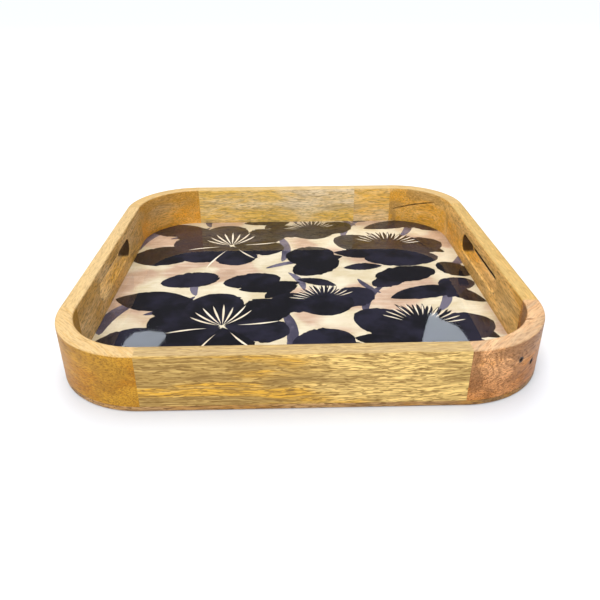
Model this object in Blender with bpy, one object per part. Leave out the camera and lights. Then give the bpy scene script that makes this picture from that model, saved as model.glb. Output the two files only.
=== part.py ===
"""A square solid-wood serving tray: nine glued and dowelled wall blocks on a thin base board, and a
printed sheet under clear resin inside. Metres, +Z up, origin under the middle, front wall at -Y."""

from math import cos, pi, radians, sin

import bmesh
import bpy
from mathutils import Matrix, Vector

SIDE = 0.400
HEIGHT = 0.050
GAP = 0.0003
MERGE_DISTANCE = 0.00001
SHARP_EDGE = radians(30)

BASE_THICKNESS = 0.0050
BASE_EDGE_ROUND = 0.0018
BASE_EDGE_STEPS = 3

WALL_THICKNESS = 0.0140
WALL_BOTTOM = BASE_THICKNESS + GAP
RIM_ROUND = 0.0015
CORNER_RADIUS = 0.0765
ARC_STEPS = 16
ROUND_STEPS = 2

BACK_SHORT_START = 0.0770

SLOT_LENGTH = 0.1220
SLOT_HEIGHT = 0.0195
SLOT_CENTRE_Z = 0.0285
SLOT_CUT_DEPTH = 3 * WALL_THICKNESS

SHEET_THICKNESS = 0.0005
RESIN_THICKNESS = 0.0011

DOWEL_RADIUS = 0.0030
DOWEL_LENGTH = 0.0240
DOWEL_CHAMFER = 0.0006
DOWEL_HOLE_RADIUS = DOWEL_RADIUS + GAP
DOWEL_END_PLAY = 0.0007
DOWEL_HOLE_LENGTH = DOWEL_LENGTH + 2 * DOWEL_END_PLAY
DOWEL_HEIGHTS = (0.0155, 0.0400)
DOWEL_SIDES = 12

SCREW_HEAD_RADIUS = 0.0030
SCREW_SHANK_RADIUS = 0.0015
SCREW_LENGTH = 0.0130
SCREW_POINT = 0.0025
SCREW_SINK = 0.0004
SCREW_SPACING = 0.0850
SCREW_SIDES = 12
RECESS_ARM = 0.0030
RECESS_WIDTH = 0.0007
RECESS_DEPTH = 0.0010

HALF = SIDE / 2
JOINT = HALF - CORNER_RADIUS
INNER = HALF - WALL_THICKNESS
INNER_RADIUS = CORNER_RADIUS - WALL_THICKNESS
WALL_MIDDLE = HALF - WALL_THICKNESS / 2
SHEET_BOTTOM = BASE_THICKNESS + GAP
RESIN_BOTTOM = SHEET_BOTTOM + SHEET_THICKNESS + GAP

# Quarter turns that take a wall drawn along the front edge to each side of the tray.
SIDES = {"front": 0, "right": 90, "back": 180, "left": 270}


def clear_scene():
    for obj in list(bpy.data.objects):
        bpy.data.objects.remove(obj, do_unlink=True)


def new_collection(name):
    collection = bpy.data.collections.new(name)
    bpy.context.scene.collection.children.link(collection)
    return collection


def new_material(name, colour, roughness, metallic=0.0, alpha=1.0):
    material = bpy.data.materials.new(name)
    material.use_nodes = True
    shader = material.node_tree.nodes["Principled BSDF"]
    shader.inputs["Base Color"].default_value = (*colour, 1.0)
    shader.inputs["Roughness"].default_value = roughness
    shader.inputs["Metallic"].default_value = metallic
    shader.inputs["Alpha"].default_value = alpha
    return material


def add_object(name, mesh, material, collection, turn=0.0):
    obj = bpy.data.objects.new(name, mesh)
    obj.rotation_euler.z = radians(turn)
    mesh.materials.clear()
    mesh.materials.append(material)
    collection.objects.link(obj)
    return obj


def mesh_from(name, bm, smooth=False):
    bmesh.ops.recalc_face_normals(bm, faces=bm.faces)
    mesh = bpy.data.meshes.new(name)
    bm.to_mesh(mesh)
    bm.free()
    if smooth:
        mesh.shade_smooth()
        mesh.set_sharp_from_angle(angle=SHARP_EDGE)
    return mesh


def box(low, high):
    """A box as a bmesh, from its lowest and highest corners."""
    bm = bmesh.new()
    bmesh.ops.create_cube(bm, size=1.0)
    low = Vector(low)
    high = Vector(high)
    bmesh.ops.scale(bm, vec=high - low, verts=bm.verts)
    bmesh.ops.translate(bm, vec=(low + high) / 2, verts=bm.verts)
    return bm


def cylinder(radius, length, sides):
    """A cylinder along Z as a bmesh, centred on the origin."""
    bm = bmesh.new()
    bmesh.ops.create_cone(bm, cap_ends=True, segments=sides, radius1=radius, radius2=radius, depth=length)
    return bm


def cut(obj, cutter, cutters):
    """Cuts one mesh object out of another, and files the cutter away as a hidden helper."""
    cutter.hide_render = True
    cutter.display_type = "WIRE"
    cutters.objects.link(cutter)
    modifier = obj.modifiers.new("Cut " + cutter.name, "BOOLEAN")
    modifier.operation = "DIFFERENCE"
    modifier.solver = "EXACT"
    modifier.object = cutter


def make_base_board(material, parts):
    """The board under the whole tray: its corners follow the wall's, its lower edge is rounded."""
    bm = box((-HALF, -HALF, 0), (HALF, HALF, BASE_THICKNESS))
    upright = [e for e in bm.edges if e.verts[0].co.xy == e.verts[1].co.xy]
    bmesh.ops.bevel(bm, geom=upright, offset=CORNER_RADIUS, segments=ARC_STEPS, affect="EDGES", profile=0.5)
    lower = [e for e in bm.edges if all(v.co.z == 0 for v in e.verts)]
    bmesh.ops.bevel(
        bm, geom=lower, offset=BASE_EDGE_ROUND, segments=BASE_EDGE_STEPS, affect="EDGES", profile=0.5
    )
    return add_object("base_board", mesh_from("base_board", bm, smooth=True), material, parts)


def straight_wall(start, end):
    """A straight stretch of the front wall from X = start to X = end, with both upper edges eased."""
    bm = box((start, -HALF, WALL_BOTTOM), (end, -INNER, HEIGHT))
    eased = [
        e for e in bm.edges
        if all(v.co.z > HEIGHT / 2 for v in e.verts) and e.verts[0].co.x != e.verts[1].co.x
    ]
    bmesh.ops.bevel(bm, geom=eased, offset=RIM_ROUND, segments=ROUND_STEPS, affect="EDGES", profile=0.5)
    return bm


def make_straight_wall(name, side, start, end, material, parts):
    mesh = mesh_from(name, straight_wall(start, end), smooth=True)
    return add_object(name, mesh, material, parts, turn=SIDES[side])


def make_corner(name, side, material, parts):
    """The block at the right-hand end of a side: the wall's section turned a quarter about the corner."""
    bm = straight_wall(0, JOINT)
    # Only the end face stays, which is the wall's section.
    bmesh.ops.delete(bm, geom=[v for v in bm.verts if v.co.x < JOINT / 2], context="VERTS")
    bmesh.ops.spin(
        bm,
        geom=bm.verts[:] + bm.edges[:] + bm.faces[:],
        cent=(JOINT, -JOINT, 0),
        axis=(0, 0, 1),
        angle=radians(90),
        steps=ARC_STEPS,
    )
    mesh = mesh_from(name, bm, smooth=True)
    return add_object(name, mesh, material, parts, turn=SIDES[side])


def stadium(length, height, depth):
    """A slot cutter along X, with round ends, cut through along Y."""
    reach = length / 2 - height / 2
    curve = bpy.data.curves.new("slot", "CURVE")
    curve.dimensions = "2D"
    curve.fill_mode = "BOTH"
    curve.extrude = depth / 2
    spline = curve.splines.new("POLY")
    points = []
    for end in (1, -1):
        for step in range(ARC_STEPS + 1):
            angle = -pi / 2 + pi * step / ARC_STEPS
            points.append((end * (reach + height / 2 * cos(angle)), end * height / 2 * sin(angle)))
    spline.points.add(len(points) - 1)
    for point, (x, y) in zip(spline.points, points):
        point.co = (x, y, 0, 1)
    spline.use_cyclic_u = True
    shape = bpy.data.objects.new("slot", curve)
    bpy.context.scene.collection.objects.link(shape)
    graph = bpy.context.evaluated_depsgraph_get()
    mesh = bpy.data.meshes.new_from_object(shape.evaluated_get(graph))
    bpy.data.objects.remove(shape)
    bm = bmesh.new()
    bm.from_mesh(mesh)
    bmesh.ops.remove_doubles(bm, verts=bm.verts, dist=MERGE_DISTANCE)
    bmesh.ops.rotate(bm, verts=bm.verts, matrix=Matrix.Rotation(radians(90), 3, "X"))
    return mesh_from("slot", bm)


def cut_handle_slot(wall, side, cutters):
    """The handle slot, cut through the middle of a side wall."""
    cutter = bpy.data.objects.new(wall.name + "_slot", stadium(SLOT_LENGTH, SLOT_HEIGHT, SLOT_CUT_DEPTH))
    turn = Matrix.Rotation(radians(SIDES[side]), 4, "Z")
    cutter.matrix_world = turn @ Matrix.Translation((0, -WALL_MIDDLE, SLOT_CENTRE_Z))
    cut(wall, cutter, cutters)


def make_dowel(name, place, material, parts):
    """A short wooden dowel with chamfered ends, lying across a joint."""
    bm = cylinder(DOWEL_RADIUS, DOWEL_LENGTH, DOWEL_SIDES)
    ends = [e for e in bm.edges if e.verts[0].co.z == e.verts[1].co.z]
    bmesh.ops.bevel(bm, geom=ends, offset=DOWEL_CHAMFER, segments=1, affect="EDGES")
    dowel = add_object(name, mesh_from(name, bm, smooth=True), material, parts)
    dowel.matrix_world = place
    return dowel


def dowel_joint(name, side, x, joined, material, parts, cutters):
    """Two dowels one above the other across the joint at X = x of a side, in holes in both pieces."""
    turn = Matrix.Rotation(radians(SIDES[side]), 4, "Z")
    for level, height in zip(("lower", "upper"), DOWEL_HEIGHTS):
        place = turn @ Matrix.Translation((x, -WALL_MIDDLE, height)) @ Matrix.Rotation(radians(90), 4, "Y")
        make_dowel(f"dowel_{name}_{level}", place, material, parts)
        for wall in joined:
            hole = cylinder(DOWEL_HOLE_RADIUS, DOWEL_HOLE_LENGTH, DOWEL_SIDES)
            cutter = bpy.data.objects.new(f"{wall.name}_{name}_{level}", mesh_from("dowel_hole", hole))
            cutter.matrix_world = place
            cut(wall, cutter, cutters)


def screw_profile(grow, sink):
    """(radius, height) down a countersunk screw's outer side, point first and head last."""
    head = SCREW_HEAD_RADIUS + grow
    shank = SCREW_SHANK_RADIUS + grow
    tip = SCREW_LENGTH + grow
    return (
        (0.0, tip),
        (shank, tip - SCREW_POINT),
        (shank, sink + head - shank),
        (head, sink),
    )


def turned(name, profile):
    """A closed turned solid from a profile that starts and ends on the Z axis."""
    bm = bmesh.new()
    verts = [bm.verts.new((radius, 0, height)) for radius, height in profile]
    for first, second in zip(verts, verts[1:]):
        bm.edges.new((first, second))
    bmesh.ops.spin(
        bm,
        geom=bm.verts[:] + bm.edges[:],
        cent=(0, 0, 0),
        axis=(0, 0, 1),
        angle=2 * pi,
        steps=SCREW_SIDES,
    )
    bmesh.ops.remove_doubles(bm, verts=bm.verts, dist=MERGE_DISTANCE)
    return mesh_from(name, bm, smooth=True)


def make_screw(name, x, y, through, material, parts, cutters):
    """A countersunk screw from below, with a cross recess, and its hole in the board and the wall."""
    body = screw_profile(0.0, SCREW_SINK) + ((0.0, SCREW_SINK),)
    screw = add_object(name, turned(name, body), material, parts)
    screw.location = (x, y, 0)
    for arm, (wide, deep) in enumerate(((RECESS_ARM, RECESS_WIDTH), (RECESS_WIDTH, RECESS_ARM))):
        recess = box((-wide / 2, -deep / 2, -SCREW_SINK), (wide / 2, deep / 2, SCREW_SINK + RECESS_DEPTH))
        cutter = bpy.data.objects.new(f"{name}_recess_{arm}", mesh_from("recess", recess))
        cutter.location = (x, y, 0)
        cut(screw, cutter, cutters)
    head_radius = SCREW_HEAD_RADIUS + GAP
    clearance = screw_profile(GAP, SCREW_SINK) + ((head_radius, -BASE_THICKNESS), (0.0, -BASE_THICKNESS))
    for board in through:
        cutter = bpy.data.objects.new(f"{name}_{board.name}_hole", turned("screw_hole", clearance))
        cutter.location = (x, y, 0)
        cut(board, cutter, cutters)


def make_inside_sheet(name, bottom, thickness, material, parts):
    """A flat sheet that fills the tray inside its walls."""
    reach = INNER - GAP
    bm = box((-reach, -reach, bottom), (reach, reach, bottom + thickness))
    upright = [e for e in bm.edges if e.verts[0].co.xy == e.verts[1].co.xy]
    bmesh.ops.bevel(
        bm, geom=upright, offset=INNER_RADIUS - GAP, segments=ARC_STEPS, affect="EDGES", profile=0.5
    )
    return add_object(name, mesh_from(name, bm, smooth=True), material, parts)


def main():
    clear_scene()
    parts = new_collection("serving_tray")
    cutters = new_collection("cutters")

    gold = new_material("golden_wood", (0.60, 0.36, 0.12), 0.45)
    olive = new_material("olive_wood", (0.50, 0.36, 0.11), 0.45)
    pale = new_material("pale_wood", (0.66, 0.48, 0.24), 0.45)
    brown = new_material("brown_wood", (0.44, 0.22, 0.08), 0.45)
    red = new_material("reddish_wood", (0.47, 0.21, 0.12), 0.45)
    board = new_material("base_wood", (0.43, 0.21, 0.10), 0.5)
    dowel_wood = new_material("dowel_wood", (0.62, 0.45, 0.26), 0.6)
    steel = new_material("screw_steel", (0.56, 0.55, 0.52), 0.35, metallic=1.0)
    print_ink = new_material("printed_paper", (0.62, 0.49, 0.34), 0.6)
    resin = new_material("clear_resin", (0.9, 0.92, 0.93), 0.05, alpha=0.25)

    base = make_base_board(board, parts)
    reach = JOINT - GAP
    front = make_straight_wall("front_rail", "front", -reach, reach, olive, parts)
    right = make_straight_wall("right_rail", "right", -reach, reach, gold, parts)
    left = make_straight_wall("left_rail", "left", -reach, reach, gold, parts)
    # The back wall is drawn on the front edge and turned round, so +X of the tray is -X there.
    long_end = -BACK_SHORT_START + GAP / 2
    back_long = make_straight_wall("back_rail_long", "back", long_end, reach, pale, parts)
    back_short = make_straight_wall("back_rail_short", "back", -reach, long_end - GAP, pale, parts)
    front_right = make_corner("front_right_corner", "front", red, parts)
    back_right = make_corner("back_right_corner", "right", gold, parts)
    back_left = make_corner("back_left_corner", "back", brown, parts)
    front_left = make_corner("front_left_corner", "left", gold, parts)

    cut_handle_slot(left, "left", cutters)
    cut_handle_slot(right, "right", cutters)

    end = JOINT - GAP / 2
    joints = (
        ("front_left", "front", -end, (front, front_left)),
        ("front_right", "front", end, (front, front_right)),
        ("right_front", "right", -end, (right, front_right)),
        ("right_back", "right", end, (right, back_right)),
        ("back_right", "back", -end, (back_short, back_right)),
        ("back_middle", "back", -BACK_SHORT_START, (back_long, back_short)),
        ("back_left", "back", end, (back_long, back_left)),
        ("left_back", "left", -end, (left, back_left)),
        ("left_front", "left", end, (left, front_left)),
    )
    for name, side, x, joined in joints:
        dowel_joint(name, side, x, joined, dowel_wood, parts, cutters)

    diagonal = JOINT + (CORNER_RADIUS - WALL_THICKNESS / 2) * sin(radians(45))
    short_middle = (BACK_SHORT_START + JOINT) / 2
    screws = (
        ("front_1", -SCREW_SPACING, -WALL_MIDDLE, front),
        ("front_2", SCREW_SPACING, -WALL_MIDDLE, front),
        ("right_1", WALL_MIDDLE, -SCREW_SPACING, right),
        ("right_2", WALL_MIDDLE, SCREW_SPACING, right),
        ("left_1", -WALL_MIDDLE, -SCREW_SPACING, left),
        ("left_2", -WALL_MIDDLE, SCREW_SPACING, left),
        ("back_1", -SCREW_SPACING, WALL_MIDDLE, back_long),
        ("back_2", SCREW_SPACING / 2, WALL_MIDDLE, back_long),
        ("back_3", short_middle, WALL_MIDDLE, back_short),
        ("front_left_corner", -diagonal, -diagonal, front_left),
        ("front_right_corner", diagonal, -diagonal, front_right),
        ("back_right_corner", diagonal, diagonal, back_right),
        ("back_left_corner", -diagonal, diagonal, back_left),
    )
    for name, x, y, wall in screws:
        make_screw(f"screw_{name}", x, y, (base, wall), steel, parts, cutters)

    make_inside_sheet("print_sheet", SHEET_BOTTOM, SHEET_THICKNESS, print_ink, parts)
    make_inside_sheet("resin_coat", RESIN_BOTTOM, RESIN_THICKNESS, resin, parts)


main()
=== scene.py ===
"""The looks of a solid-wood serving tray with a printed floral sheet under clear resin.

Metres, +Z up, front wall at -Y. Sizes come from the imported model; the wall blocks, the base board, the
sheet and the resin are rebuilt here with fine surfaces, and the screws and dowels keep their CAD shape.
"""

import random
from math import cos, pi, radians, sin

import bmesh
import bpy
from mathutils import Matrix, Vector, geometry, noise


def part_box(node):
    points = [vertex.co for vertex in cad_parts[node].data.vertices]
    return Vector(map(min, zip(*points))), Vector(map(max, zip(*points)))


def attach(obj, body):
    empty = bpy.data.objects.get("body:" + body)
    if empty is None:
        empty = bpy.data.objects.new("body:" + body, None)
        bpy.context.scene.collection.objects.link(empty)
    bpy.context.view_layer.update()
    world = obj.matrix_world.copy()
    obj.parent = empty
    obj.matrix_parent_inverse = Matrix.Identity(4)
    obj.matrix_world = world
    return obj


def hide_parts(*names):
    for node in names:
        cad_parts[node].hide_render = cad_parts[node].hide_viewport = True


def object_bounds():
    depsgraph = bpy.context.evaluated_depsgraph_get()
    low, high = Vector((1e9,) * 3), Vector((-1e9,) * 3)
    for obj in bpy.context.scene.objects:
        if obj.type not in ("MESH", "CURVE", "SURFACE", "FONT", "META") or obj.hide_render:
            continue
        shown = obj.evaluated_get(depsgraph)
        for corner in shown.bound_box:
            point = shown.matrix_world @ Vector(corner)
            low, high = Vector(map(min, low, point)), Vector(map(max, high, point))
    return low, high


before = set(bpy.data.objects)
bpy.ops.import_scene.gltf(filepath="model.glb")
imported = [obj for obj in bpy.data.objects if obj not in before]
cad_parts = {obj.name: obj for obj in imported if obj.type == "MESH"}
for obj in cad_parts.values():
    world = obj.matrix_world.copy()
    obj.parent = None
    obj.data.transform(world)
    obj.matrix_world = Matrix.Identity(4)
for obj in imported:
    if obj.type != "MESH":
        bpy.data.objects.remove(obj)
cad_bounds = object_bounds()

# --- Sizes read from the frame -------------------------------------------------------------------

HALF = cad_bounds[1].x
HEIGHT = cad_bounds[1].z
BASE_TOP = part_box("base_board")[1].z
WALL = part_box("front_rail")[1].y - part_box("front_rail")[0].y
INNER = HALF - WALL
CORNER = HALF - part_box("front_right_corner")[0].x
JOINT = HALF - CORNER
INNER_CORNER = CORNER - WALL
SHORT_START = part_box("back_rail_short")[0].x
SHEET_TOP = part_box("print_sheet")[1].z
RESIN_LOW, RESIN_HIGH = (corner.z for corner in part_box("resin_coat"))

# --- Sizes of the fine surfaces ------------------------------------------------------------------

SEAM = 0.00004  # between neighbouring pieces
SHARP_ANGLE = 32  # an edge that turns by more degrees than this is shaded sharp

ARC_STEPS = 32  # round one corner of the tray
RIM_ROUND = 0.0017  # the walls' eased upper edges
RIM_STEPS = 5

SLOT_LENGTH = 0.1220
SLOT_HEIGHT = 0.0195
SLOT_Z = 0.0285
SLOT_END_STEPS = 20
SLOT_ROUND = 0.0007  # round the slots' mouths
SLOT_ROUND_STEPS = 6

BASE_ROUND = 0.0018  # the board's lower edge
BASE_ROUND_ANGLES = (0, 22, 45, 67, 90)
BASE_EASE = 0.0003  # its upper edge
HOLE_PLAY = 0.0001  # round a screw
HOLE_SIDES = 24

RESIN_RISE = 0.0009  # how far the resin climbs the walls
RESIN_RISE_WIDTH = 0.0020
RESIN_RISE_STEPS = 6
RESIN_SHARP_ANGLE = 60

# Flaws in the corner blocks. Angles are round the corner's centre, in degrees from +X.
KNOT_HOLES = (  # angle, height, (length, width, depth), lean
    (-57, 0.0330, (0.0034, 0.0026, 0.0120), 20),
    (-44.6, 0.0245, (0.0080, 0.0032, 0.0140), 62),
)
KNOT_RADIUS = 0.0019
TOP_CRACK = ((0.1795, -0.1557, HEIGHT), (0.0095, 0.0024, 0.0100), (0, 0, 0))  # place, size, turns
BACK_CRACK_PITS = ((80, 0.0240), (70, 0.0268), (60, 0.0300), (50, 0.0335), (40, 0.0370))  # angle, height
BACK_CRACK_PIT_SIZE = (0.0150, 0.0012, 0.0070)
BACK_CRACK_SLOPE = 17
BACK_CRACK_ANGLES = (86, 36)  # of the dark line through the pits, from its lower end to its upper one
BACK_CRACK_LEVELS = (0.0225, 0.0385)
PIT_SIDES = 14
PIT_RINGS = 9
PIT_PINCH = 0.55  # how much narrower a pit is at its two ends
PIT_PINCH_POWER = 1.5


# --- Mesh helpers --------------------------------------------------------------------------------


def add_object(name, data):
    """A new object in the scene, holding a mesh, a light or a camera."""
    thing = bpy.data.objects.new(name, data)
    bpy.context.scene.collection.objects.link(thing)
    return thing


def add_piece(name, mesh, material, *nodes, slot=None):
    """A piece of the tray: rides on the one body, and stands for the CAD nodes named."""
    piece = add_object(name, mesh)
    if material is not None:
        mesh.materials.append(material)
    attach(piece, "root")
    if nodes:
        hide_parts(*nodes)
    return piece


def finish_mesh(name, bm, sharp=SHARP_ANGLE):
    """The bmesh as a smooth mesh with its normals outwards and its sharp edges marked."""
    bmesh.ops.recalc_face_normals(bm, faces=bm.faces)
    mesh = bpy.data.meshes.new(name)
    bm.to_mesh(mesh)
    bm.free()
    mesh.shade_smooth()
    mesh.set_sharp_from_angle(angle=radians(sharp))
    return mesh


def turn_to_side(name, bm, side):
    """The finished mesh of something made along the front, turned to its side in degrees."""
    bmesh.ops.rotate(bm, verts=bm.verts, matrix=Matrix.Rotation(radians(side), 3, "Z"))
    return finish_mesh(name, bm)


def loft(loops):
    """A closed bmesh through a row of loops with the same number of points, capped at both ends."""
    bm = bmesh.new()
    rings = [[bm.verts.new(point) for point in loop] for loop in loops]
    for first, second in zip(rings, rings[1:]):
        for i in range(len(first)):
            j = (i + 1) % len(first)
            bm.faces.new((first[i], first[j], second[j], second[i]))
    bm.faces.new(rings[0][::-1])
    bm.faces.new(rings[-1])
    return bm


def arc(centre, radius, start, end, steps):
    """Points on an arc in the plane, from one angle to another in degrees."""
    angles = [radians(start + (end - start) * i / steps) for i in range(steps + 1)]
    return [(centre[0] + radius * cos(a), centre[1] + radius * sin(a)) for a in angles]


def rounded_square(half, radius, z):
    """A level loop round a square with round corners, counterclockwise."""
    reach = half - radius
    points = []
    for turn, (x, y) in enumerate(((reach, reach), (-reach, reach), (-reach, -reach), (reach, -reach))):
        points += arc((x, y), radius, 90 * turn, 90 * turn + 90, ARC_STEPS)
    return [(x, y, z) for x, y in points]


def cut(mesh, cutters):
    """The mesh with every cutter mesh taken out of it."""
    if not cutters:
        return mesh
    body = add_object("body", mesh)
    helpers = []
    for cutter in cutters:
        helper = add_object("cutter", cutter)
        helpers.append(helper)
        modifier = body.modifiers.new("cut", "BOOLEAN")
        modifier.operation = "DIFFERENCE"
        modifier.solver = "EXACT"
        modifier.object = helper
    graph = bpy.context.evaluated_depsgraph_get()
    result = bpy.data.meshes.new_from_object(body.evaluated_get(graph))
    for helper in [body, *helpers]:
        bpy.data.objects.remove(helper)
    result.materials.clear()
    result.shade_smooth()
    result.set_sharp_from_angle(angle=radians(SHARP_ANGLE))
    return result


# --- Camera --------------------------------------------------------------------------------------

CAMERA_PLACE = (-0.0108, -0.5646, 0.2879)
CAMERA_DOWN = 28.02  # degrees, as the next two
CAMERA_RIGHT = 1.29
CAMERA_ROLL = -0.31
CAMERA_LENS = 36.10  # millimetres, as the sensor
CAMERA_SENSOR = 36
CAMERA_RANGE = (0.01, 60)


def make_camera():
    data = bpy.data.cameras.new("camera")
    data.lens = CAMERA_LENS
    data.sensor_width = CAMERA_SENSOR
    data.clip_start, data.clip_end = CAMERA_RANGE
    camera = add_object("camera", data)
    turn = (
        Matrix.Rotation(radians(-CAMERA_RIGHT), 4, "Z")
        @ Matrix.Rotation(radians(90 - CAMERA_DOWN), 4, "X")
        @ Matrix.Rotation(radians(CAMERA_ROLL), 4, "Z")
    )
    camera.matrix_world = Matrix.Translation(CAMERA_PLACE) @ turn
    bpy.context.scene.camera = camera


# --- Node trees ----------------------------------------------------------------------------------

MIX_FLOATS = (2, 3)  # a Mix node's sockets, which share their names between its data types
MIX_COLOURS = (6, 7)
MIX_COLOUR_OUT = 2


def fill(tree, socket, value):
    """Gives an input a number, a colour of three channels, a vector or another node's output."""
    if isinstance(value, bpy.types.NodeSocket):
        tree.links.new(value, socket)
    elif socket.type == "RGBA":
        socket.default_value = (*value, 1.0)
    else:
        socket.default_value = value


class Nodes:
    """Builds a material's node tree. Every value may be a constant or another node's output."""

    def __init__(self, name):
        self.material = bpy.data.materials.new(name)
        self.material.use_nodes = True
        self.tree = self.material.node_tree
        self.tree.nodes.clear()
        self.output = self.tree.nodes.new("ShaderNodeOutputMaterial")

    def add(self, kind, inputs=None, **settings):
        node = self.tree.nodes.new("ShaderNode" + kind)
        for key, value in settings.items():
            setattr(node, key, value)
        for key, value in (inputs or {}).items():
            fill(self.tree, node.inputs[key], value)
        return node

    def coords(self):
        """The place on the object, which is the same as in the scene, because no piece is moved."""
        return self.add("TexCoord").outputs["Object"]

    def split(self, vector):
        return self.add("SeparateXYZ", {0: vector}).outputs

    def maths(self, operation, first, second=0.0):
        return self.add("Math", {0: first, 1: second}, operation=operation).outputs[0]

    def vector(self, operation, first, second):
        return self.add("VectorMath", {0: first, 1: second}, operation=operation).outputs[0]

    def distance(self, first, second):
        node = self.add("VectorMath", {0: first, 1: second}, operation="DISTANCE")
        return node.outputs["Value"]

    def noise(self, place, scale=1.0, detail=2.0, rough=0.5, colour=False):
        node = self.add(
            "TexNoise", {"Vector": place, "Scale": scale, "Detail": detail, "Roughness": rough}
        )
        return node.outputs["Color" if colour else "Fac"]

    def stretched_noise(self, place, scales, **settings):
        """Noise with a scale of its own along each axis."""
        return self.noise(self.vector("MULTIPLY", place, scales), **settings)

    def stray(self, place, scales, reach, **settings):
        """The place moved about by a soft noise, by up to about half of reach along each axis."""
        sway = self.stretched_noise(place, scales, colour=True, **settings)
        sway = self.vector("SUBTRACT", sway, (0.5, 0.5, 0.5))
        return self.vector("ADD", place, self.vector("MULTIPLY", sway, reach))

    def ramp(self, value, low, high, to_low=0.0, to_high=1.0):
        """Goes softly from to_low to to_high while the value goes from low to high."""
        node = self.add(
            "MapRange",
            {"Value": value, "From Min": low, "From Max": high, "To Min": to_low, "To Max": to_high},
            interpolation_type="SMOOTHSTEP",
        )
        return node.outputs[0]

    def mix(self, share, first, second, blend="MIX"):
        node = self.add("Mix", data_type="RGBA", blend_type=blend)
        for socket, value in zip((0, *MIX_COLOURS), (share, first, second)):
            fill(self.tree, node.inputs[socket], value)
        return node.outputs[MIX_COLOUR_OUT]

    def show(self, shader):
        self.tree.links.new(shader.outputs[0], self.output.inputs["Surface"])
        return self.material


# --- Wood ----------------------------------------------------------------------------------------

BRIGHTEST = 0.98

# A plank's tones, as factors of its own tone in red, green and blue.
PALE = (1.25, 1.36, 1.65)
GOLD = (1.0, 0.86, 0.36)
STREAK = (0.56, 0.57, 0.62)
DARK = (0.30, 0.26, 0.22)

# How fine each marking is: noise scales along the grain and both ways across it.
SWAY = (9, 24, 24)
RIPPLE = (50, 110, 110)
PATCHES = (8, 30, 30)
BANDS = (2.6, 60, 46)
CLUSTERS = (12, 70, 70)
RINGS = (2.4, 26, 22)
FIBRE = (50, 860, 860)
DASHES = (140, 1150, 1150)
GLINTS = (34, 560, 560)

SWAY_REACH = 0.016
RIPPLE_REACH = 0.0006
RING_PHASE = 150  # radians of ring pattern across the whole range of its noise
LEVEL_SWAY = 0.03  # how unevenly the upper half's tint begins
RUBBED_AND_PAINTED_LIGHT_DEPTH = (0.0016, 0.0003)  # below the top, where the top colour (wear, and painted light) begins and is full

# Dark stains, and painted shade in the slot ends and in the back crack. Each fades over the stretch between
# a pair of distances.
# The slot ends' colour: darker end grain with painted shade in the recess.
SLOT_END_GRAIN_AND_SHADE_COLOUR = (0.035, 0.018, 0.008)
SLOT_END_STRENGTH = 0.94
SLOT_END_FADE = (0.014, 0.006)  # before the slot's end
SLOT_FACE_FADE = (0.0016, 0.0004)  # behind the wall's faces
SLOT_TOP_FADE = (0.008, 0.006)  # below the wall's top
KNOT_COLOUR = (0.02, 0.010, 0.006)
KNOT_STRENGTH = 0.96
KNOT_FADE = 1.8  # where it ends, as a share of the knot's radius
# The crack's colour: its own dark, with painted shade in the gap.
CRACK_AND_SHADE_COLOUR = (0.05, 0.022, 0.010)
CRACK_STRENGTH = 0.85
CRACK_WIDTH = (0.0002, 0.0009)  # to each side of its line
CRACK_WOBBLE = 0.004
CRACK_WOBBLE_SCALE = 160
CRACK_START = (0.0, 0.08)  # as shares of its length, as the next one
CRACK_END = (0.8, 1.0)
CRACK_DEPTH = (0.002, 0.004)  # into the wood from the inner face


def scaled(tone, factors):
    """The tone with each channel scaled, dimmed as a whole where it would pass BRIGHTEST."""
    channels = [channel * factor for channel, factor in zip(tone, factors)]
    dim = min(1.0, BRIGHTEST / max(channels))
    return tuple(channel * dim for channel in channels)


def slot_end_grain_and_shade_mask(n, coords):
    """How dark both ends of the handle slots are inside the side walls: end grain and painted shade."""
    x, y, z = n.split(coords)
    depth = n.maths("ABSOLUTE", n.maths("SUBTRACT", n.maths("ABSOLUTE", x), HALF - WALL / 2))
    inside = n.ramp(depth, *(WALL / 2 - fade for fade in SLOT_FACE_FADE), 1.0, 0.0)
    below = n.ramp(z, *(HEIGHT - fade for fade in SLOT_TOP_FADE), 1.0, 0.0)
    ends = n.ramp(n.maths("ABSOLUTE", y), *(SLOT_LENGTH / 2 - fade for fade in SLOT_END_FADE))
    mask = n.maths("MULTIPLY", n.maths("MULTIPLY", inside, below), ends)
    return n.maths("MULTIPLY", mask, SLOT_END_STRENGTH)


def crack_and_shade_mask(n, coords, place):
    """How dark the thin wavy crack up the back right corner's inner face is, with painted shade in it."""
    centre = (JOINT, JOINT, 0.0)
    first, last = BACK_CRACK_ANGLES
    low, high = BACK_CRACK_LEVELS
    x, y, z = n.split(n.vector("SUBTRACT", coords, centre))
    turn = n.maths("ARCTAN2", y, x)
    share = n.maths("DIVIDE", n.maths("SUBTRACT", turn, radians(first)), radians(last - first))
    line = n.maths("ADD", n.maths("MULTIPLY", share, high - low), low)
    wobble = n.maths("SUBTRACT", n.noise(place, CRACK_WOBBLE_SCALE, detail=3), 0.5)
    line = n.maths("ADD", line, n.maths("MULTIPLY", wobble, CRACK_WOBBLE))
    off = n.maths("ABSOLUTE", n.maths("SUBTRACT", z, line))
    mask = n.ramp(off, *CRACK_WIDTH, CRACK_STRENGTH, 0.0)
    mask = n.maths("MULTIPLY", mask, n.ramp(share, *CRACK_START))
    mask = n.maths("MULTIPLY", mask, n.ramp(share, *CRACK_END, 1.0, 0.0))
    radius = n.distance(n.vector("MULTIPLY", coords, (1, 1, 0)), centre)
    shallow = n.ramp(radius, *(INNER_CORNER + depth for depth in CRACK_DEPTH), 1.0, 0.0)
    return n.maths("MULTIPLY", mask, shallow)


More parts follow.
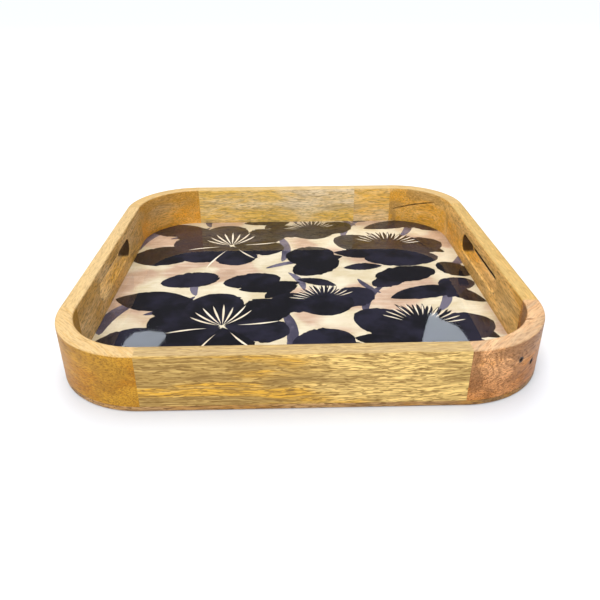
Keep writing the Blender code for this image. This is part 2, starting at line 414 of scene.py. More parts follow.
def broad_figure(n, place, drift):
    """The patches, dark bands and rings of a plank. Drift makes it paler along the grain."""
    along = n.split(place)[0]
    patches = n.stretched_noise(place, PATCHES, detail=4, rough=0.6)
    patches = n.maths("ADD", patches, n.maths("MULTIPLY", along, drift))
    clusters = n.maths("SUBTRACT", n.stretched_noise(place, CLUSTERS, detail=2), 0.5)
    bands = n.stretched_noise(place, BANDS, detail=3, rough=0.55)
    bands = n.maths("ADD", bands, n.maths("MULTIPLY", clusters, 0.5))
    bands = n.maths("SUBTRACT", bands, n.maths("MULTIPLY", along, 0.55 * drift))
    rings = n.stretched_noise(place, RINGS, detail=1)
    rings = n.maths("SINE", n.maths("MULTIPLY", rings, RING_PHASE))
    return patches, bands, rings


def wood(
    name, tone, turn=0, shift=(0, 0, 0), clouds=1.0, lines=1.0, flecks=1.0, threads=0.5, drift=0.0,
    rim=0.9, rubbed_and_painted_light=(0.56, 0.40, 0.185), upper=(1, 1, 1), knots=(), cracked=False, routed=False,
):
    """Lacquered solid wood round one tone, its grain along X turned by turn degrees about Z.

    shift picks the plank; clouds, lines and flecks scale its markings; threads is the strength of its
    finest fibres; drift pales it along the grain; rim is how far the top face takes the colour rubbed,
    which is wear and also painted light on the top; upper tints the upper half; knots are (centre,
    radius) stains; cracked draws the dark line of the back right corner, its own dark with painted
    shade; routed darkens the end grain inside the handle slots, with painted shade in them.
    """
    pale, gold, streak, dark = (scaled(tone, factors) for factors in (PALE, GOLD, STREAK, DARK))
    n = Nodes(name)
    coords = n.coords()
    turned = n.add("Mapping", {"Vector": coords, "Location": shift, "Rotation": (0, 0, radians(-turn))})
    place = n.stray(turned.outputs[0], SWAY, (0.0, SWAY_REACH, SWAY_REACH), detail=2)
    place = n.stray(place, RIPPLE, (0.0, RIPPLE_REACH, RIPPLE_REACH), detail=1)
    patches, bands, rings = broad_figure(n, place, drift)
    fibre = n.stretched_noise(place, FIBRE, detail=3, rough=0.6)
    dashes = n.stretched_noise(place, DASHES, detail=1, rough=0.5)
    glints = n.stretched_noise(place, GLINTS, detail=3, rough=0.6)

    colour = n.mix(n.ramp(patches, 0.40, 0.60), gold, pale)
    colour = n.mix(n.ramp(bands, 0.51, 0.62, 0.0, 0.9 * clouds), colour, streak)
    colour = n.mix(n.ramp(rings, 0.1, 1.0, 0.0, 0.30 * lines), colour, streak)
    level = n.split(coords)[2]
    swayed = n.maths("ADD", level, n.maths("MULTIPLY", n.maths("SUBTRACT", patches, 0.5), LEVEL_SWAY))
    tinted = n.mix(1.0, colour, upper, "MULTIPLY")
    colour = n.mix(n.ramp(swayed, 0.4 * HEIGHT, 0.75 * HEIGHT), colour, tinted)
    # The top face's colour: wear, and also painted light that sets how bright the top looks.
    top = n.ramp(level, HEIGHT - RUBBED_AND_PAINTED_LIGHT_DEPTH[0], HEIGHT - RUBBED_AND_PAINTED_LIGHT_DEPTH[1])
    colour = n.mix(n.maths("MULTIPLY", top, rim), colour, rubbed_and_painted_light)
    colour = n.mix(n.ramp(glints, 0.50, 0.62, 0.0, 0.32), colour, pale)
    shown = n.maths("SUBTRACT", 1.0, n.maths("MULTIPLY", top, 0.5))
    colour = n.mix(n.maths("MULTIPLY", n.ramp(fibre, 0.40, 0.56, threads, 0.0), shown), colour, dark)
    specks = n.maths("MULTIPLY", n.ramp(dashes, 0.53, 0.64, 0.0, 0.80 * flecks), shown)
    colour = n.mix(specks, colour, dark)
    # Painted shade, over darker end grain, inside the slot ends.
    if routed:
        colour = n.mix(slot_end_grain_and_shade_mask(n, coords), colour, SLOT_END_GRAIN_AND_SHADE_COLOUR)
    for centre, radius in knots:
        stain = n.ramp(n.distance(coords, centre), radius, KNOT_FADE * radius, KNOT_STRENGTH, 0.0)
        colour = n.mix(stain, colour, KNOT_COLOUR)
    # Painted shade in the crack, over its own dark.
    if cracked:
        colour = n.mix(crack_and_shade_mask(n, coords, place), colour, CRACK_AND_SHADE_COLOUR)

    rough = n.maths("ADD", n.ramp(fibre, 0.3, 0.7, 0.38, 0.48), n.maths("MULTIPLY", specks, 0.2))
    height = n.maths("SUBTRACT", n.maths("MULTIPLY", fibre, 0.5), specks)
    bump = n.add("Bump", {"Height": height, "Strength": 0.3, "Distance": 0.0003})
    shader = n.add(
        "BsdfPrincipled",
        {
            "Base Color": colour,
            "Roughness": rough,
            "Normal": bump.outputs[0],
            "Specular IOR Level": 0.22,
            "Coat Weight": 0.03,
            "Coat Roughness": 0.25,
        },
    )
    return n.show(shader)


def make_woods():
    """A material for each block of the frame, all cut from different planks."""
    knots = [(corner_point(1, -1, angle, CORNER, z), KNOT_RADIUS) for angle, z, _, _ in KNOT_HOLES]
    side = {"turn": 90, "clouds": 0.6, "lines": 0.6, "flecks": 0.8, "threads": 0.4, "routed": True}
    back = {"lines": 0.4, "flecks": 0.7, "threads": 0.4}
    corner = {"flecks": 0.6, "threads": 0.35}
    planks = {
        "front": {
            "tone": (0.68, 0.43, 0.12), "rubbed_and_painted_light": (0.46, 0.33, 0.155),
            "lines": 1.5, "threads": 0.65, "drift": 2.4,
        },
        "right": {
            **side, "tone": (0.86, 0.48, 0.13), "rubbed_and_painted_light": (0.52, 0.36, 0.13), "shift": (0.3, 0.1, 0.2),
        },
        "left": {
            **side, "tone": (0.70, 0.44, 0.17), "rubbed_and_painted_light": (0.62, 0.44, 0.21), "shift": (0.6, 0.4, 0.7),
        },
        "back": {
            **back, "tone": (0.93, 0.69, 0.34), "upper": (1.0, 1.02, 1.15),
            "shift": (0.7, 0.4, 0.1), "clouds": 0.6,
        },
        "back_short": {
            **back, "tone": (0.96, 0.66, 0.29), "shift": (1, 2, 3),
        },
        "front_right": {
            "tone": (0.51, 0.21, 0.06), "rubbed_and_painted_light": (0.72, 0.52, 0.32), "rim": 0.6, "upper": (1.22, 1.4, 1.7),
            "turn": 45, "shift": (0.2, 0.9, 0.4),
            "clouds": 1.25, "lines": 2.2, "flecks": 0.9, "threads": 0.45, "knots": knots,
        },
        "front_left": {
            **corner, "tone": (0.42, 0.195, 0.012), "rubbed_and_painted_light": (0.66, 0.46, 0.22), "rim": 0.95,
            "turn": -45, "shift": (0.8, 0.2, 0.6), "clouds": 0.4, "lines": 0.3,
        },
        "back_left": {
            **corner, "tone": (0.98, 0.51, 0.115), "upper": (0.68, 0.78, 1.2),
            "turn": 45, "shift": (0.5, 0.5, 0.9), "clouds": 0.3, "lines": 0.5,
        },
        "back_right": {
            **corner, "tone": (0.84, 0.49, 0.14),
            "turn": -45, "shift": (0.1, 0.7, 0.3), "clouds": 0.8, "lines": 0.5, "cracked": True,
        },
    }
    return {name: wood("wood_" + name, **plank) for name, plank in planks.items()}


# --- Walls and base ------------------------------------------------------------------------------


def wall_section():
    """(distance from the outer face, height) round the wall's section, with its upper edges eased."""
    low = BASE_TOP + SEAM
    outer = arc((RIM_ROUND, HEIGHT - RIM_ROUND), RIM_ROUND, 180, 90, RIM_STEPS)
    inner = arc((WALL - RIM_ROUND, HEIGHT - RIM_ROUND), RIM_ROUND, 90, 0, RIM_STEPS)
    return [(0.0, low), *outer, *inner, (WALL, low)]


def straight_wall(side, start, end):
    """A straight stretch of wall from X = start to end along the front, turned to its side."""
    section = wall_section()
    loops = [[(x, -HALF + depth, z) for depth, z in section] for x in (start, end)]
    return turn_to_side("wall", loft(loops), side)


def corner_wall(side):
    """The curved block at the right-hand end of the front, turned to its side."""
    section = wall_section()
    loops = []
    for step in range(ARC_STEPS + 1):
        angle = radians(-90 + 90 * step / ARC_STEPS)
        loops.append(
            [
                (JOINT + (CORNER - depth) * cos(angle), -JOINT + (CORNER - depth) * sin(angle), z)
                for depth, z in section
            ]
        )
    return turn_to_side("corner", loft(loops), side)


def slot_cutter(side):
    """The handle slot through a side wall, its mouths flared so that its edges come out rounded."""
    depths = [(-2 * SLOT_ROUND, SLOT_ROUND)]
    for step in range(SLOT_ROUND_STEPS + 1):
        angle = radians(90 * step / SLOT_ROUND_STEPS)
        depths.append((SLOT_ROUND * (1 - cos(angle)), SLOT_ROUND * (1 - sin(angle))))
    depths += [(WALL - inward, grow) for inward, grow in reversed(depths)]
    reach = SLOT_LENGTH / 2 - SLOT_HEIGHT / 2
    loops = []
    for inward, grow in depths:
        radius = SLOT_HEIGHT / 2 + grow
        outline = arc((reach, SLOT_Z), radius, -90, 90, SLOT_END_STEPS)
        outline += arc((-reach, SLOT_Z), radius, 90, 270, SLOT_END_STEPS)
        loops.append([(x, -HALF + inward, z) for x, z in outline])
    return turn_to_side("slot", loft(loops), side)


def pit(place, size, turns):
    """A spindle-shaped hole: length, width and depth in size, turned about X, Y and then Z in degrees."""
    bm = bmesh.new()
    bmesh.ops.create_uvsphere(bm, u_segments=PIT_SIDES, v_segments=PIT_RINGS, radius=0.5)
    for vert in bm.verts:
        pinch = 1 - PIT_PINCH * abs(2 * vert.co.x) ** PIT_PINCH_POWER
        vert.co = Vector((vert.co.x * size[0], vert.co.y * size[1] * pinch, vert.co.z * size[2]))
    for axis, turn in zip("XYZ", turns):
        bmesh.ops.rotate(bm, verts=bm.verts, matrix=Matrix.Rotation(radians(turn), 3, axis))
    bmesh.ops.translate(bm, verts=bm.verts, vec=place)
    return finish_mesh("pit", bm)


def corner_point(side_x, side_y, angle, radius, z):
    """A point at an angle and radius from the centre of a corner's arcs."""
    x = side_x * JOINT + radius * cos(radians(angle))
    y = side_y * JOINT + radius * sin(radians(angle))
    return Vector((x, y, z))


def make_walls():
    woods = make_woods()
    end = JOINT - SEAM
    middle = -SHORT_START
    holes = [
        pit(corner_point(1, -1, angle, CORNER, z), size, (90, -lean, angle + 90))
        for angle, z, size, lean in KNOT_HOLES
    ]
    crack = [
        pit(
            corner_point(1, 1, angle, INNER_CORNER, z),
            BACK_CRACK_PIT_SIZE,
            (90, BACK_CRACK_SLOPE, angle + 90),
        )
        for angle, z in BACK_CRACK_PITS
    ]
    straights = (
        ("front_wall", "front_rail", 0, (-end, end), "front", "olive_wood", []),
        ("back_wall_long", "back_rail_long", 180, (middle + SEAM, end), "back", "pale_wood", []),
        ("back_wall_short", "back_rail_short", 180, (-end, middle - SEAM), "back_short", "pale_wood", []),
        ("right_wall", "right_rail", 90, (-end, end), "right", "golden_wood", [slot_cutter(90)]),
        ("left_wall", "left_rail", 270, (-end, end), "left", "golden_wood", [slot_cutter(270)]),
    )
    corners = (
        ("front_right", 0, "reddish_wood", [*holes, pit(*TOP_CRACK)]),
        ("back_right", 90, "golden_wood", crack),
        ("back_left", 180, "brown_wood", []),
        ("front_left", 270, "golden_wood", []),
    )
    for name, node, side, ends, plank, slot, cutters in straights:
        mesh = cut(straight_wall(side, *ends), cutters)
        add_piece(name, mesh, woods[plank], node, slot=slot)
    for name, side, slot, cutters in corners:
        mesh = cut(corner_wall(side), cutters)
        add_piece(name + "_block", mesh, woods[name], name + "_corner", slot=slot)


def screw_hole(name):
    """A countersunk hole through the board round one screw."""
    low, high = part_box(name)
    middle = (low + high) / 2
    head = (high.x - low.x) / 2
    shank = head / 2
    outline = (
        (head + HOLE_PLAY, -BASE_TOP),
        (head + HOLE_PLAY, low.z),
        (shank + HOLE_PLAY, low.z + head - shank),
        (shank + HOLE_PLAY, 2 * BASE_TOP),
    )
    last = 360 - 360 / HOLE_SIDES
    loops = [
        [(x, y, z) for x, y in arc((middle.x, middle.y), radius, 0, last, HOLE_SIDES - 1)]
        for radius, z in outline
    ]
    return finish_mesh("hole", loft(loops))


def make_base():
    board = wood("wood_base", (0.43, 0.235, 0.08), shift=(0.4, 0.3, 0.8))
    loops = []
    for angle in BASE_ROUND_ANGLES:
        out = BASE_ROUND * sin(radians(angle))
        rise = BASE_ROUND - BASE_ROUND * cos(radians(angle))
        loops.append(rounded_square(HALF - BASE_ROUND + out, CORNER - BASE_ROUND + out, rise))
    loops.append(rounded_square(HALF, CORNER, BASE_TOP - BASE_EASE))
    loops.append(rounded_square(HALF - BASE_EASE, CORNER - BASE_EASE, BASE_TOP))
    holes = [screw_hole(name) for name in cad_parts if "screw_" in name]
    add_piece("base", cut(finish_mesh("base", loft(loops)), holes), board, "base_board", slot="base_wood")


# --- The print -----------------------------------------------------------------------------------
# A generic floral pattern: open blossoms, thistles, leaves, buds and curved stems, drawn in
# millimetres and degrees on the sheet's plane and turned into coloured faces of one flat mesh.

MM = 0.001
INKS = ("ground", "stem", "dark", "line")
TONE_SEED = 4
TINY = 1e-7  # outlines' points closer than this are joined

REPEAT = (-5, 191)  # from each row of the pattern to the next
ROWS = (-1, 0, 1)
BLOSSOMS = (  # centre, turn, size
    ((-72, -84), 6, 1.0),
)
THISTLES = (
    ((114, -92), -8, 1.12),
    ((26, -40), 10, 0.92),
)
STEMS = (  # start, angle, length, width, bend
    ((-182, -96), 66, 78, 14, -70),
    ((-12, -132), 96, 84, 11, 46),
    ((64, -66), 66, 70, 9, -50),
    ((176, -150), 74, 104, 15, 70),
    ((-104, -22), 86, 52, 9, -50),
    ((6, -12), 112, 46, 8, 40),
    ((134, -62), 78, 72, 10, 56),
    ((-30, -150), 20, 60, 8, -30),
    ((-150, -60), 40, 60, 9, 44),
    ((84, -22), 120, 40, 7, -30),
)
LEAVES = (  # start, angle, length, width, bend
    ((-184, -26), -6, 82, 42, 10),
    ((-6, -124), -22, 58, 24, 18),
    ((58, -120), 196, 40, 20, 10),
    ((92, -34), 12, 84, 28, -26),
    ((186, -44), 128, 52, 22, -30),
    ((-62, -10), 14, 66, 24, 14),
    ((40, -4), 158, 44, 16, 20),
    ((-118, 0), 30, 40, 17, 16),
    ((56, -152), 6, 44, 18, -12),
    ((150, -34), 66, 46, 18, 30),
    ((48, -108), -6, 58, 24, 16),
    ((-34, -30), 40, 44, 20, -20),
    ((178, -112), 150, 40, 16, 30),
)
BUDS = (  # start, angle, length, width
    ((-185, -118), 12, 72, 54),
    ((-140, -184), 16, 62, 36),
    ((-74, -186), 12, 62, 36),
    ((2, -166), 42, 64, 42),
    ((88, -176), 14, 70, 38),
    ((190, -176), 128, 44, 30),
    ((-142, -58), 18, 44, 26),
    ((78, -6), 34, 46, 26),
    ((-8, -120), 14, 58, 46),
    ((186, 0), 190, 40, 30),
    ((82, -128), 3, 86, 44),
)

PETALS = (  # angle, length, width, bend
    (100, 66, 58, 10),
    (35, 74, 50, 18),
    (160, 70, 54, -20),
    (-20, 62, 44, -15),
    (215, 64, 46, 12),
    (275, 56, 48, 0),
)
PETAL_SLITS = ((4, 40), (187, 38), (244, 54), (302, 34))  # angle, length
STAMENS = 8
HAIRS = 23
HEAD_SLITS = 13


def smooth_noise(x, seed):
    """A number that wanders between -1 and 1 along x, differently for each seed."""
    return noise.noise(Vector((x, 7.3 * seed, 3.1)))


def blade(base, angle, length, width, bend=0.0, fullness=0.7, peak=1.0, ragged=0.0, seed=0, steps=26):
    """The outline of a petal or leaf: a bent spine from base, with a swelling half-width each side.

    peak above 1 moves the widest place towards the tip; ragged is how far the torn edge sways, in mm.
    """
    spine = []
    x, y = base
    heading = angle - bend / 2
    for i in range(steps + 1):
        share = i / steps
        spine.append((x, y, heading, share))
        x += length / steps * cos(radians(heading))
        y += length / steps * sin(radians(heading))
        heading += bend / steps
    left = []
    right = []
    for x, y, heading, share in spine:
        between = 0 < share < 1
        half = width / 2 * sin(pi * share**peak) ** fullness if between else 0.0
        torn = ragged * min(1.0, 4 * share) * min(1.0, 5 * (1 - share))
        for side, edge in ((1, left), (-1, right)):
            swing = 0.6 * smooth_noise(9 * share, seed + side)
            tear = 0.9 * smooth_noise(43 * share, seed + 5 * side)
            out = half + torn * (swing + tear) if between else 0.0
            edge.append(
                (x - side * out * sin(radians(heading)), y + side * out * cos(radians(heading)))
            )
    return right + left[-2:0:-1]


def stroke(start, angle, length, width, bend=0.0):
    """A thin brush line, pointed at both ends."""
    return blade(start, angle, length, width, bend, fullness=0.8, peak=1.3, steps=8)


def polar(centre, angle, distance):
    return (centre[0] + distance * cos(radians(angle)), centre[1] + distance * sin(radians(angle)))


def blossom(centre, turn, size, draw):
    """An open flower: broad torn petals, light slits between them and a fan of stamens."""
    for i, (angle, length, width, bend) in enumerate(PETALS):
        base = polar(centre, angle + turn, 2 * size)
        outline = blade(
            base, angle + turn, length * size, width * size, bend, 0.62, 1.45, 3.2 * size, seed=i + turn
        )
        draw("dark", outline)
    for angle, length in PETAL_SLITS:
        start = polar(centre, angle + turn, 14 * size)
        draw("line", stroke(start, angle + turn, length * size, 2.2 * size, bend=16))
    for i in range(STAMENS):
        place = i - (STAMENS - 1) / 2
        angle = 94 + turn + 14 * place
        start = polar(centre, angle, 4 * size)
        length = (38 + 12 * smooth_noise(2.7 * i, turn)) * size
        draw("line", stroke(start, angle, length, 2.1 * size, bend=-7 * place))


def thistle(centre, turn, size, draw):
    """A spiky bloom: a dark head on two side petals, hairs along its upper edge and light slits in it."""
    for side in (-1, 1):
        angle = 90 + turn - side * 62
        base = polar(centre, 270 + turn, 14 * size)
        outline = blade(
            base, angle, 66 * size, 44 * size, -side * 14, 0.6, 1.4, 2.6 * size, seed=side + turn
        )
        draw("dark", outline)
    base = polar(centre, 270 + turn, 30 * size)
    draw("dark", blade(base, 90 + turn, 56 * size, 62 * size, 0, 0.55, 1.0, 2.0 * size, seed=turn + 9))
    for i in range(HAIRS):
        share = i / (HAIRS - 1) - 0.5
        start = polar(centre, 90 + turn + 130 * share, 14 * size)
        angle = 90 + turn + 150 * share + 5 * smooth_noise(2.3 * i, turn)
        length = (27 + 9 * smooth_noise(5.1 * i, turn + 2)) * size
        draw("dark", stroke(start, angle, length, 3.4 * size, bend=10))
    for i in range(HEAD_SLITS):
        share = (i + 0.5) / HEAD_SLITS - 0.5
        away = (21 + 4 * smooth_noise(4.1 * i, turn + 4)) * size
        start = polar(centre, 90 + turn + 128 * share, away)
        draw("line", stroke(start, 90 + turn + 146 * share, 19 * size, 1.5 * size, bend=8))


def leaf(base, angle, length, width, bend, draw, seed):
    draw("dark", blade(base, angle, length, width, bend, 0.75, 1.0, 1.3, seed))


def bud(base, angle, length, width, draw, seed):
    draw("dark", blade(base, angle, length, width, 6, 0.5, 1.05, 2.4, seed))


def stem(base, angle, length, width, bend, draw):
    draw("stem", blade(base, angle, length, width, bend, 0.55, 0.9, 0.5, seed=length))


def draw_pattern(draw):
    """Every row of the pattern, from the lowest layer to the top one: stems, leaves and buds, flowers."""
    rows = [(REPEAT[0] * row, REPEAT[1] * row) for row in ROWS]
    for dx, dy in rows:
        for (x, y), angle, length, width, bend in STEMS:
            stem((x + dx, y + dy), angle, length, width, bend, draw)
    for dx, dy in rows:
        for i, ((x, y), angle, length, width, bend) in enumerate(LEAVES):
            leaf((x + dx, y + dy), angle, length, width, bend, draw, i)
        for i, ((x, y), angle, length, width) in enumerate(BUDS):
            bud((x + dx, y + dy), angle, length, width, draw, i)
    for dx, dy in rows:
        for flower, places in ((blossom, BLOSSOMS), (thistle, THISTLES)):
            for (x, y), turn, size in places:
                flower((x + dx, y + dy), turn, size, draw)


def make_pattern_mesh():
    """The flat coloured top of the sheet, split along every outline, with a thin body below it."""
    edge = [(x, y) for x, y, _ in rounded_square(INNER - SEAM, INNER_CORNER - SEAM, 0)]
    outlines = [("ground", edge)]

    def draw(ink, outline):
        outlines.append((ink, [(x * MM, y * MM) for x, y in outline]))

    draw_pattern(draw)
    points = [Vector(point) for _, outline in outlines for point in outline]
    loops = []
    count = 0
    for _, outline in outlines:
        loops.append(list(range(count, count + len(outline))))
        count += len(outline)
    spots, _, triangles, _, _, owners = geometry.delaunay_2d_cdt(points, [], loops, 0, TINY, True)
    bm = bmesh.new()
    tone = bm.faces.layers.float.new("tone")
    corners = [bm.verts.new((spot.x, spot.y, SHEET_TOP)) for spot in spots]
    random.seed(TONE_SEED)
    tones = [random.random() for _ in outlines]
    for triangle, owner in zip(triangles, owners):
        if 0 not in owner:  # beyond the edge of the sheet
            continue
        topmost = max(owner)
        face = bm.faces.new([corners[i] for i in triangle])
        face.material_index = INKS.index(outlines[topmost][0])
        face[tone] = tones[topmost]
    bmesh.ops.delete(bm, geom=[v for v in bm.verts if not v.link_faces], context="VERTS")
    rim = [e for e in bm.edges if e.is_boundary]
    sides = bmesh.ops.extrude_edge_only(bm, edges=rim)["geom"]
    lower = [v for v in sides if isinstance(v, bmesh.types.BMVert)]
    for vert in lower:
        vert.co.z = BASE_TOP + SEAM
    bmesh.ops.contextual_create(bm, geom=[e for e in bm.edges if e.is_boundary])
    return finish_mesh("print", bm)


def ink(name, first, second, scale):
    """Watercolour ink that pools between two tones, more in some brush strokes than in others."""
    n = Nodes(name)
    coords = n.coords()
    wash = n.noise(coords, scale, detail=4, rough=0.6)
    tone = n.add("Attribute", attribute_name="tone").outputs["Fac"]
    wash = n.maths("ADD", wash, n.maths("MULTIPLY", n.maths("SUBTRACT", tone, 0.5), 0.25))
    grain = n.noise(coords, 900, detail=2)
    colour = n.mix(n.ramp(wash, 0.38, 0.68), first, second)
    colour = n.mix(n.ramp(grain, 0.3, 0.7, 0.0, 0.12), colour, second)
    shader = n.add("BsdfPrincipled", {"Base Color": colour, "Roughness": 0.55, "Specular IOR Level": 0.05})
    return n.show(shader)


def paper():
    """Cream ground with blush washes and faint brushed streaks."""
    n = Nodes("print_ground")
    coords = n.coords()
    place = n.stray(coords, (60, 60, 60), (0.012, 0.012, 0.0), detail=3)
    wash = n.noise(place, 13, detail=2)
    pool = n.noise(place, 34, detail=4, rough=0.6)
    streak = n.stretched_noise(coords, (30, 260, 1), detail=3)
    cream = n.mix(n.ramp(pool, 0.35, 0.65), (0.58, 0.49, 0.32), (0.69, 0.62, 0.47))
    blush = n.mix(n.ramp(pool, 0.35, 0.65), (0.43, 0.275, 0.19), (0.55, 0.375, 0.27))
    colour = n.mix(n.ramp(wash, 0.50, 0.60, 0.0, 0.9), cream, blush)
    colour = n.mix(n.ramp(streak, 0.45, 0.75, 0.0, 0.20), colour, (0.95, 0.89, 0.76))
    grain = n.noise(coords, 1100, detail=2)
    colour = n.mix(n.ramp(grain, 0.3, 0.7, 0.0, 0.06), colour, (0.5, 0.4, 0.3))
    shader = n.add("BsdfPrincipled", {"Base Color": colour, "Roughness": 0.6, "Specular IOR Level": 0.05})
    return n.show(shader)


def make_sheet():
    """The print, its materials in the order of INKS."""
    mesh = make_pattern_mesh()
    mesh.materials.append(paper())
    mesh.materials.append(ink("print_stem", (0.05, 0.045, 0.075), (0.15, 0.135, 0.185), 55))
    mesh.materials.append(ink("print_dark", (0.006, 0.006, 0.009), (0.018, 0.017, 0.032), 34))
    mesh.materials.append(ink("print_line", (0.74, 0.64, 0.48), (0.82, 0.74, 0.60), 90))
    add_piece("printed_sheet", mesh, None, "print_sheet", slot="printed_paper")


# --- Resin ---------------------------------------------------------------------------------------


def resin():
    """Clear, with a gloss on its outer side only."""
    n = Nodes("resin")
    fresnel = n.add("Fresnel", {"IOR": 1.5}).outputs[0]
    front = n.maths("SUBTRACT", 1.0, n.add("NewGeometry").outputs["Backfacing"])
    share = n.maths("MULTIPLY", fresnel, front)
    clear = n.add("BsdfTransparent")
    gloss = n.add("BsdfAnisotropic", {"Color": (1, 1, 1), "Roughness": 0.03})
    return n.show(n.add("MixShader", {"Fac": share, 1: clear.outputs[0], 2: gloss.outputs[0]}))


def make_resin():
    """The coat, climbing the walls a little in a curve, with a flat ring where the curve begins."""
    reach = INNER - SEAM
    corner = INNER_CORNER - SEAM
    loops = [rounded_square(reach, corner, RESIN_LOW)]
    for step in range(RESIN_RISE_STEPS + 1):
        angle = radians(90 * step / RESIN_RISE_STEPS)
        inset = RESIN_RISE_WIDTH * (1 - cos(angle))
        z = RESIN_HIGH + RESIN_RISE * (1 - sin(angle))
        loops.append(rounded_square(reach - inset, corner - inset, z))
    inset = 1.5 * RESIN_RISE_WIDTH
    loops.append(rounded_square(reach - inset, corner - inset, RESIN_HIGH))
    mesh = finish_mesh("resin", loft(loops), RESIN_SHARP_ANGLE)
    add_piece("resin", mesh, resin(), "resin_coat", slot="clear_resin")


# --- Fastenings ----------------------------------------------------------------------------------


def zinc():
    """Zinc plate: pale and dark spangles, with fine scuffs."""
    n = Nodes("zinc")
    coords = n.coords()
    spangle = n.noise(coords, 700, detail=3, rough=0.6)
    scuffs = n.stretched_noise(coords, (400, 3600, 2000), detail=2)
    colour = n.mix(n.ramp(spangle, 0.35, 0.65), (0.46, 0.44, 0.40), (0.63, 0.63, 0.62))
    colour = n.mix(n.ramp(scuffs, 0.56, 0.70, 0.0, 0.6), colour, (0.25, 0.23, 0.21))
    rough = n.ramp(spangle, 0.3, 0.7, 0.28, 0.48)
    bump = n.add("Bump", {"Height": scuffs, "Strength": 0.2, "Distance": 0.0001})
    shader = n.add(
        "BsdfPrincipled",
        {"Base Color": colour, "Metallic": 1.0, "Roughness": rough, "Normal": bump.outputs[0]},
    )
    return n.show(shader)


def dress_fastenings():
    """Materials for the screws and dowels, which keep their CAD shape."""
    materials = {"screw_": zinc(), "dowel_": wood("wood_dowel", (0.60, 0.43, 0.24))}
    for name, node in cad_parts.items():
        for start, material in materials.items():
            if name.startswith(start):
                node.data.materials.clear()
                node.data.materials.append(material)


# --- Stage ---------------------------------------------------------------------------------------

FLOOR_REACH = 30
FLOOR_COLOUR = (0.92, 0.95, 1.0)
FLOOR_SHADE = 0.80  # of that colour, close to the tray: a painted shadow
FLOOR_FADE = (0.30, 0.90)  # from the middle, where the shade begins to fade and ends

SKY = 0.50
SKY_IN_GLOSS = 0.04
SKY_TO_CAMERA = 1.0
SUN_STRENGTH = 1.75
SUN_SPREAD = 60
LIGHT_TARGET = (0, 0, 0)
AREA_LIGHTS = (  # name, place, size, power, whether it shows in gloss
    ("key", (-0.8, -1.8, 1.4), (1.6, 1.0), 32, False),
    ("sheen", (0.0, 1.6, 2.2), (2.6, 0.8), 34, True),
)

# The pale reflections in the resin: each outline is where its card is mirrored, on the resin's top.
CARD_DISTANCE = 1.4
CARD_COLOUR = (0.82, 0.90, 1.0)
CARDS = (  # name, strength, outline
    ("glow_left", 3.6, (
        (-0.157, -0.128), (-0.155, -0.107), (-0.150, -0.095), (-0.138, -0.092),
        (-0.124, -0.095), (-0.120, -0.102), (-0.126, -0.128),
    )),
    ("glow_right", 3.9, (
        (0.103, -0.128), (0.114, -0.095), (0.124, -0.068), (0.131, -0.069), (0.131, -0.079),
        (0.144, -0.093), (0.1465, -0.107), (0.1475, -0.128),
    )),
)
CARD_HIDDEN_FROM = ("camera", "diffuse", "shadow", "transmission", "volume_scatter")

# Painted shadow: dark strips outside the handle slots, which show through them as shade.
SHADE_COLOUR = (0.03, 0.02, 0.015)
SHADE_GAP = 0.010
SHADE_PAST = 0.045  # past the slot's back end
SHADE_LOW = 0.002
SHADE_HIGH = 0.016
SHADE_HIDDEN_FROM = ("diffuse", "glossy", "shadow", "volume_scatter")


def hide_from(thing, rays):
    for ray in rays:
        setattr(thing, "visible_" + ray, False)


def area_light(name, place, size, power, glossy):
    data = bpy.data.lights.new(name, "AREA")
    data.shape = "RECTANGLE"
    data.size, data.size_y = size
    data.energy = power
    light = add_object(name, data)
    light.location = place
    light.rotation_euler = (Vector(LIGHT_TARGET) - Vector(place)).to_track_quat("-Z", "Y").to_euler()
    light.visible_glossy = glossy


def overhead_sun():
    """Broad light from straight above, not seen in gloss."""
    data = bpy.data.lights.new("overhead", "SUN")
    data.energy = SUN_STRENGTH
    data.angle = radians(SUN_SPREAD)
    light = add_object("overhead", data)
    light.visible_glossy = False


def make_world():
    """White to the camera, an even sky to the tray, and almost dark in its gloss."""
    world = bpy.data.worlds.new("studio")
    world.use_nodes = True
    tree = world.node_tree
    path = tree.nodes.new("ShaderNodeLightPath")
    strength = SKY
    for ray, other in (("Is Glossy Ray", SKY_IN_GLOSS), ("Is Camera Ray", SKY_TO_CAMERA)):
        choice = tree.nodes.new("ShaderNodeMix")
        for socket, value in zip((0, *MIX_FLOATS), (path.outputs[ray], strength, other)):
            fill(tree, choice.inputs[socket], value)
        strength = choice.outputs[0]
    background = tree.nodes["Background"]
    fill(tree, background.inputs["Color"], (1, 1, 1))
    fill(tree, background.inputs["Strength"], strength)
    bpy.context.scene.world = world


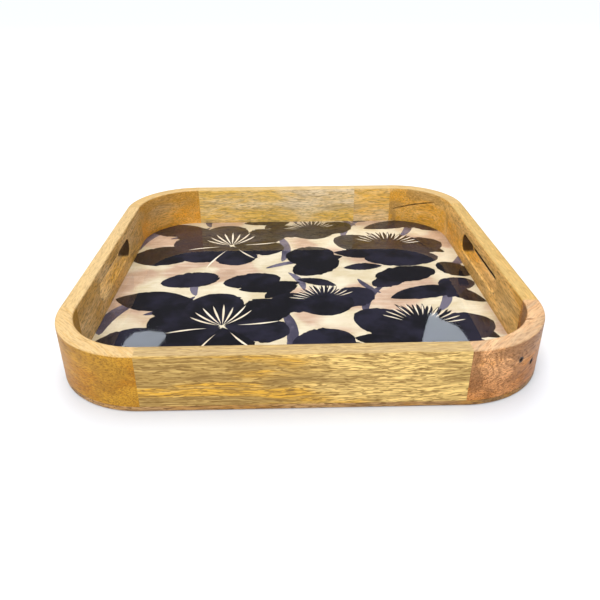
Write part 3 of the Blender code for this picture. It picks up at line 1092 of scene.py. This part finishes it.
def glow_card(name, strength, outline):
    """A bright card up behind the tray, seen only in the gloss, mirrored there where outline lies."""
    bm = bmesh.new()
    corners = []
    for x, y in outline:
        spot = Vector((x, y, RESIN_HIGH))
        ray = (spot - Vector(CAMERA_PLACE)).normalized()
        ray.z = -ray.z
        corners.append(bm.verts.new(spot + CARD_DISTANCE * ray))
    bm.faces.new(corners)
    n = Nodes(name)
    card = add_object(name, finish_mesh(name, bm))
    card.data.materials.append(n.show(n.add("Emission", {"Color": CARD_COLOUR, "Strength": strength})))
    hide_from(card, CARD_HIDDEN_FROM)


def one_sided_painted_shadow(name):
    """Painted shadow: dark on a face's front and clear on its back."""
    n = Nodes(name)
    back = n.add("NewGeometry").outputs["Backfacing"]
    dark = n.add("Emission", {"Color": SHADE_COLOUR})
    clear = n.add("BsdfTransparent")
    return n.show(n.add("MixShader", {"Fac": back, 1: dark.outputs[0], 2: clear.outputs[0]}))


def painted_shadow_card(name, side):
    """Painted shadow: a low dark strip outside a slot, seen from its inner side only, showing through the
    slot.
    """
    bm = bmesh.new()
    x = side * (HALF + SHADE_GAP)
    low_near, low_far, high_near, high_far = (
        bm.verts.new((x, y, z))
        for z in (SHADE_LOW, SHADE_HIGH)
        for y in (-SLOT_LENGTH / 2, SLOT_LENGTH / 2 + SHADE_PAST)
    )
    loop = (low_near, low_far, high_far, high_near)
    bm.faces.new(loop if side < 0 else loop[::-1])
    mesh = bpy.data.meshes.new(name)
    bm.to_mesh(mesh)
    bm.free()
    mesh.materials.append(one_sided_painted_shadow(name))
    card = add_object(name, mesh)
    hide_from(card, SHADE_HIDDEN_FROM)


def floor_material():
    """Pale paper, with a painted shadow that darkens it a little close to the tray."""
    n = Nodes("floor")
    away = n.distance(n.coords(), (0, 0, 0))
    # Painted shadow: the floor is darker close to the tray.
    painted_shadow_level = n.ramp(away, *FLOOR_FADE, FLOOR_SHADE, 1.0)
    colour = n.mix(painted_shadow_level, (0.0, 0.0, 0.0), FLOOR_COLOUR)
    shader = n.add("BsdfPrincipled", {"Base Color": colour, "Roughness": 0.9, "Specular IOR Level": 0.0})
    return n.show(shader)


def make_floor():
    bm = bmesh.new()
    bmesh.ops.create_grid(bm, x_segments=1, y_segments=1, size=FLOOR_REACH)
    floor = add_object("floor", finish_mesh("floor", bm))
    floor.data.materials.append(floor_material())


def make_stage():
    make_floor()
    make_world()
    overhead_sun()
    for light in AREA_LIGHTS:
        area_light(*light)
    for card in CARDS:
        glow_card(*card)
    painted_shadow_card("shade_left", -1)
    painted_shadow_card("shade_right", 1)
    bpy.context.scene.view_settings.view_transform = "Standard"


make_camera()
make_walls()
make_base()
make_sheet()
make_resin()
dress_fastenings()
make_stage()
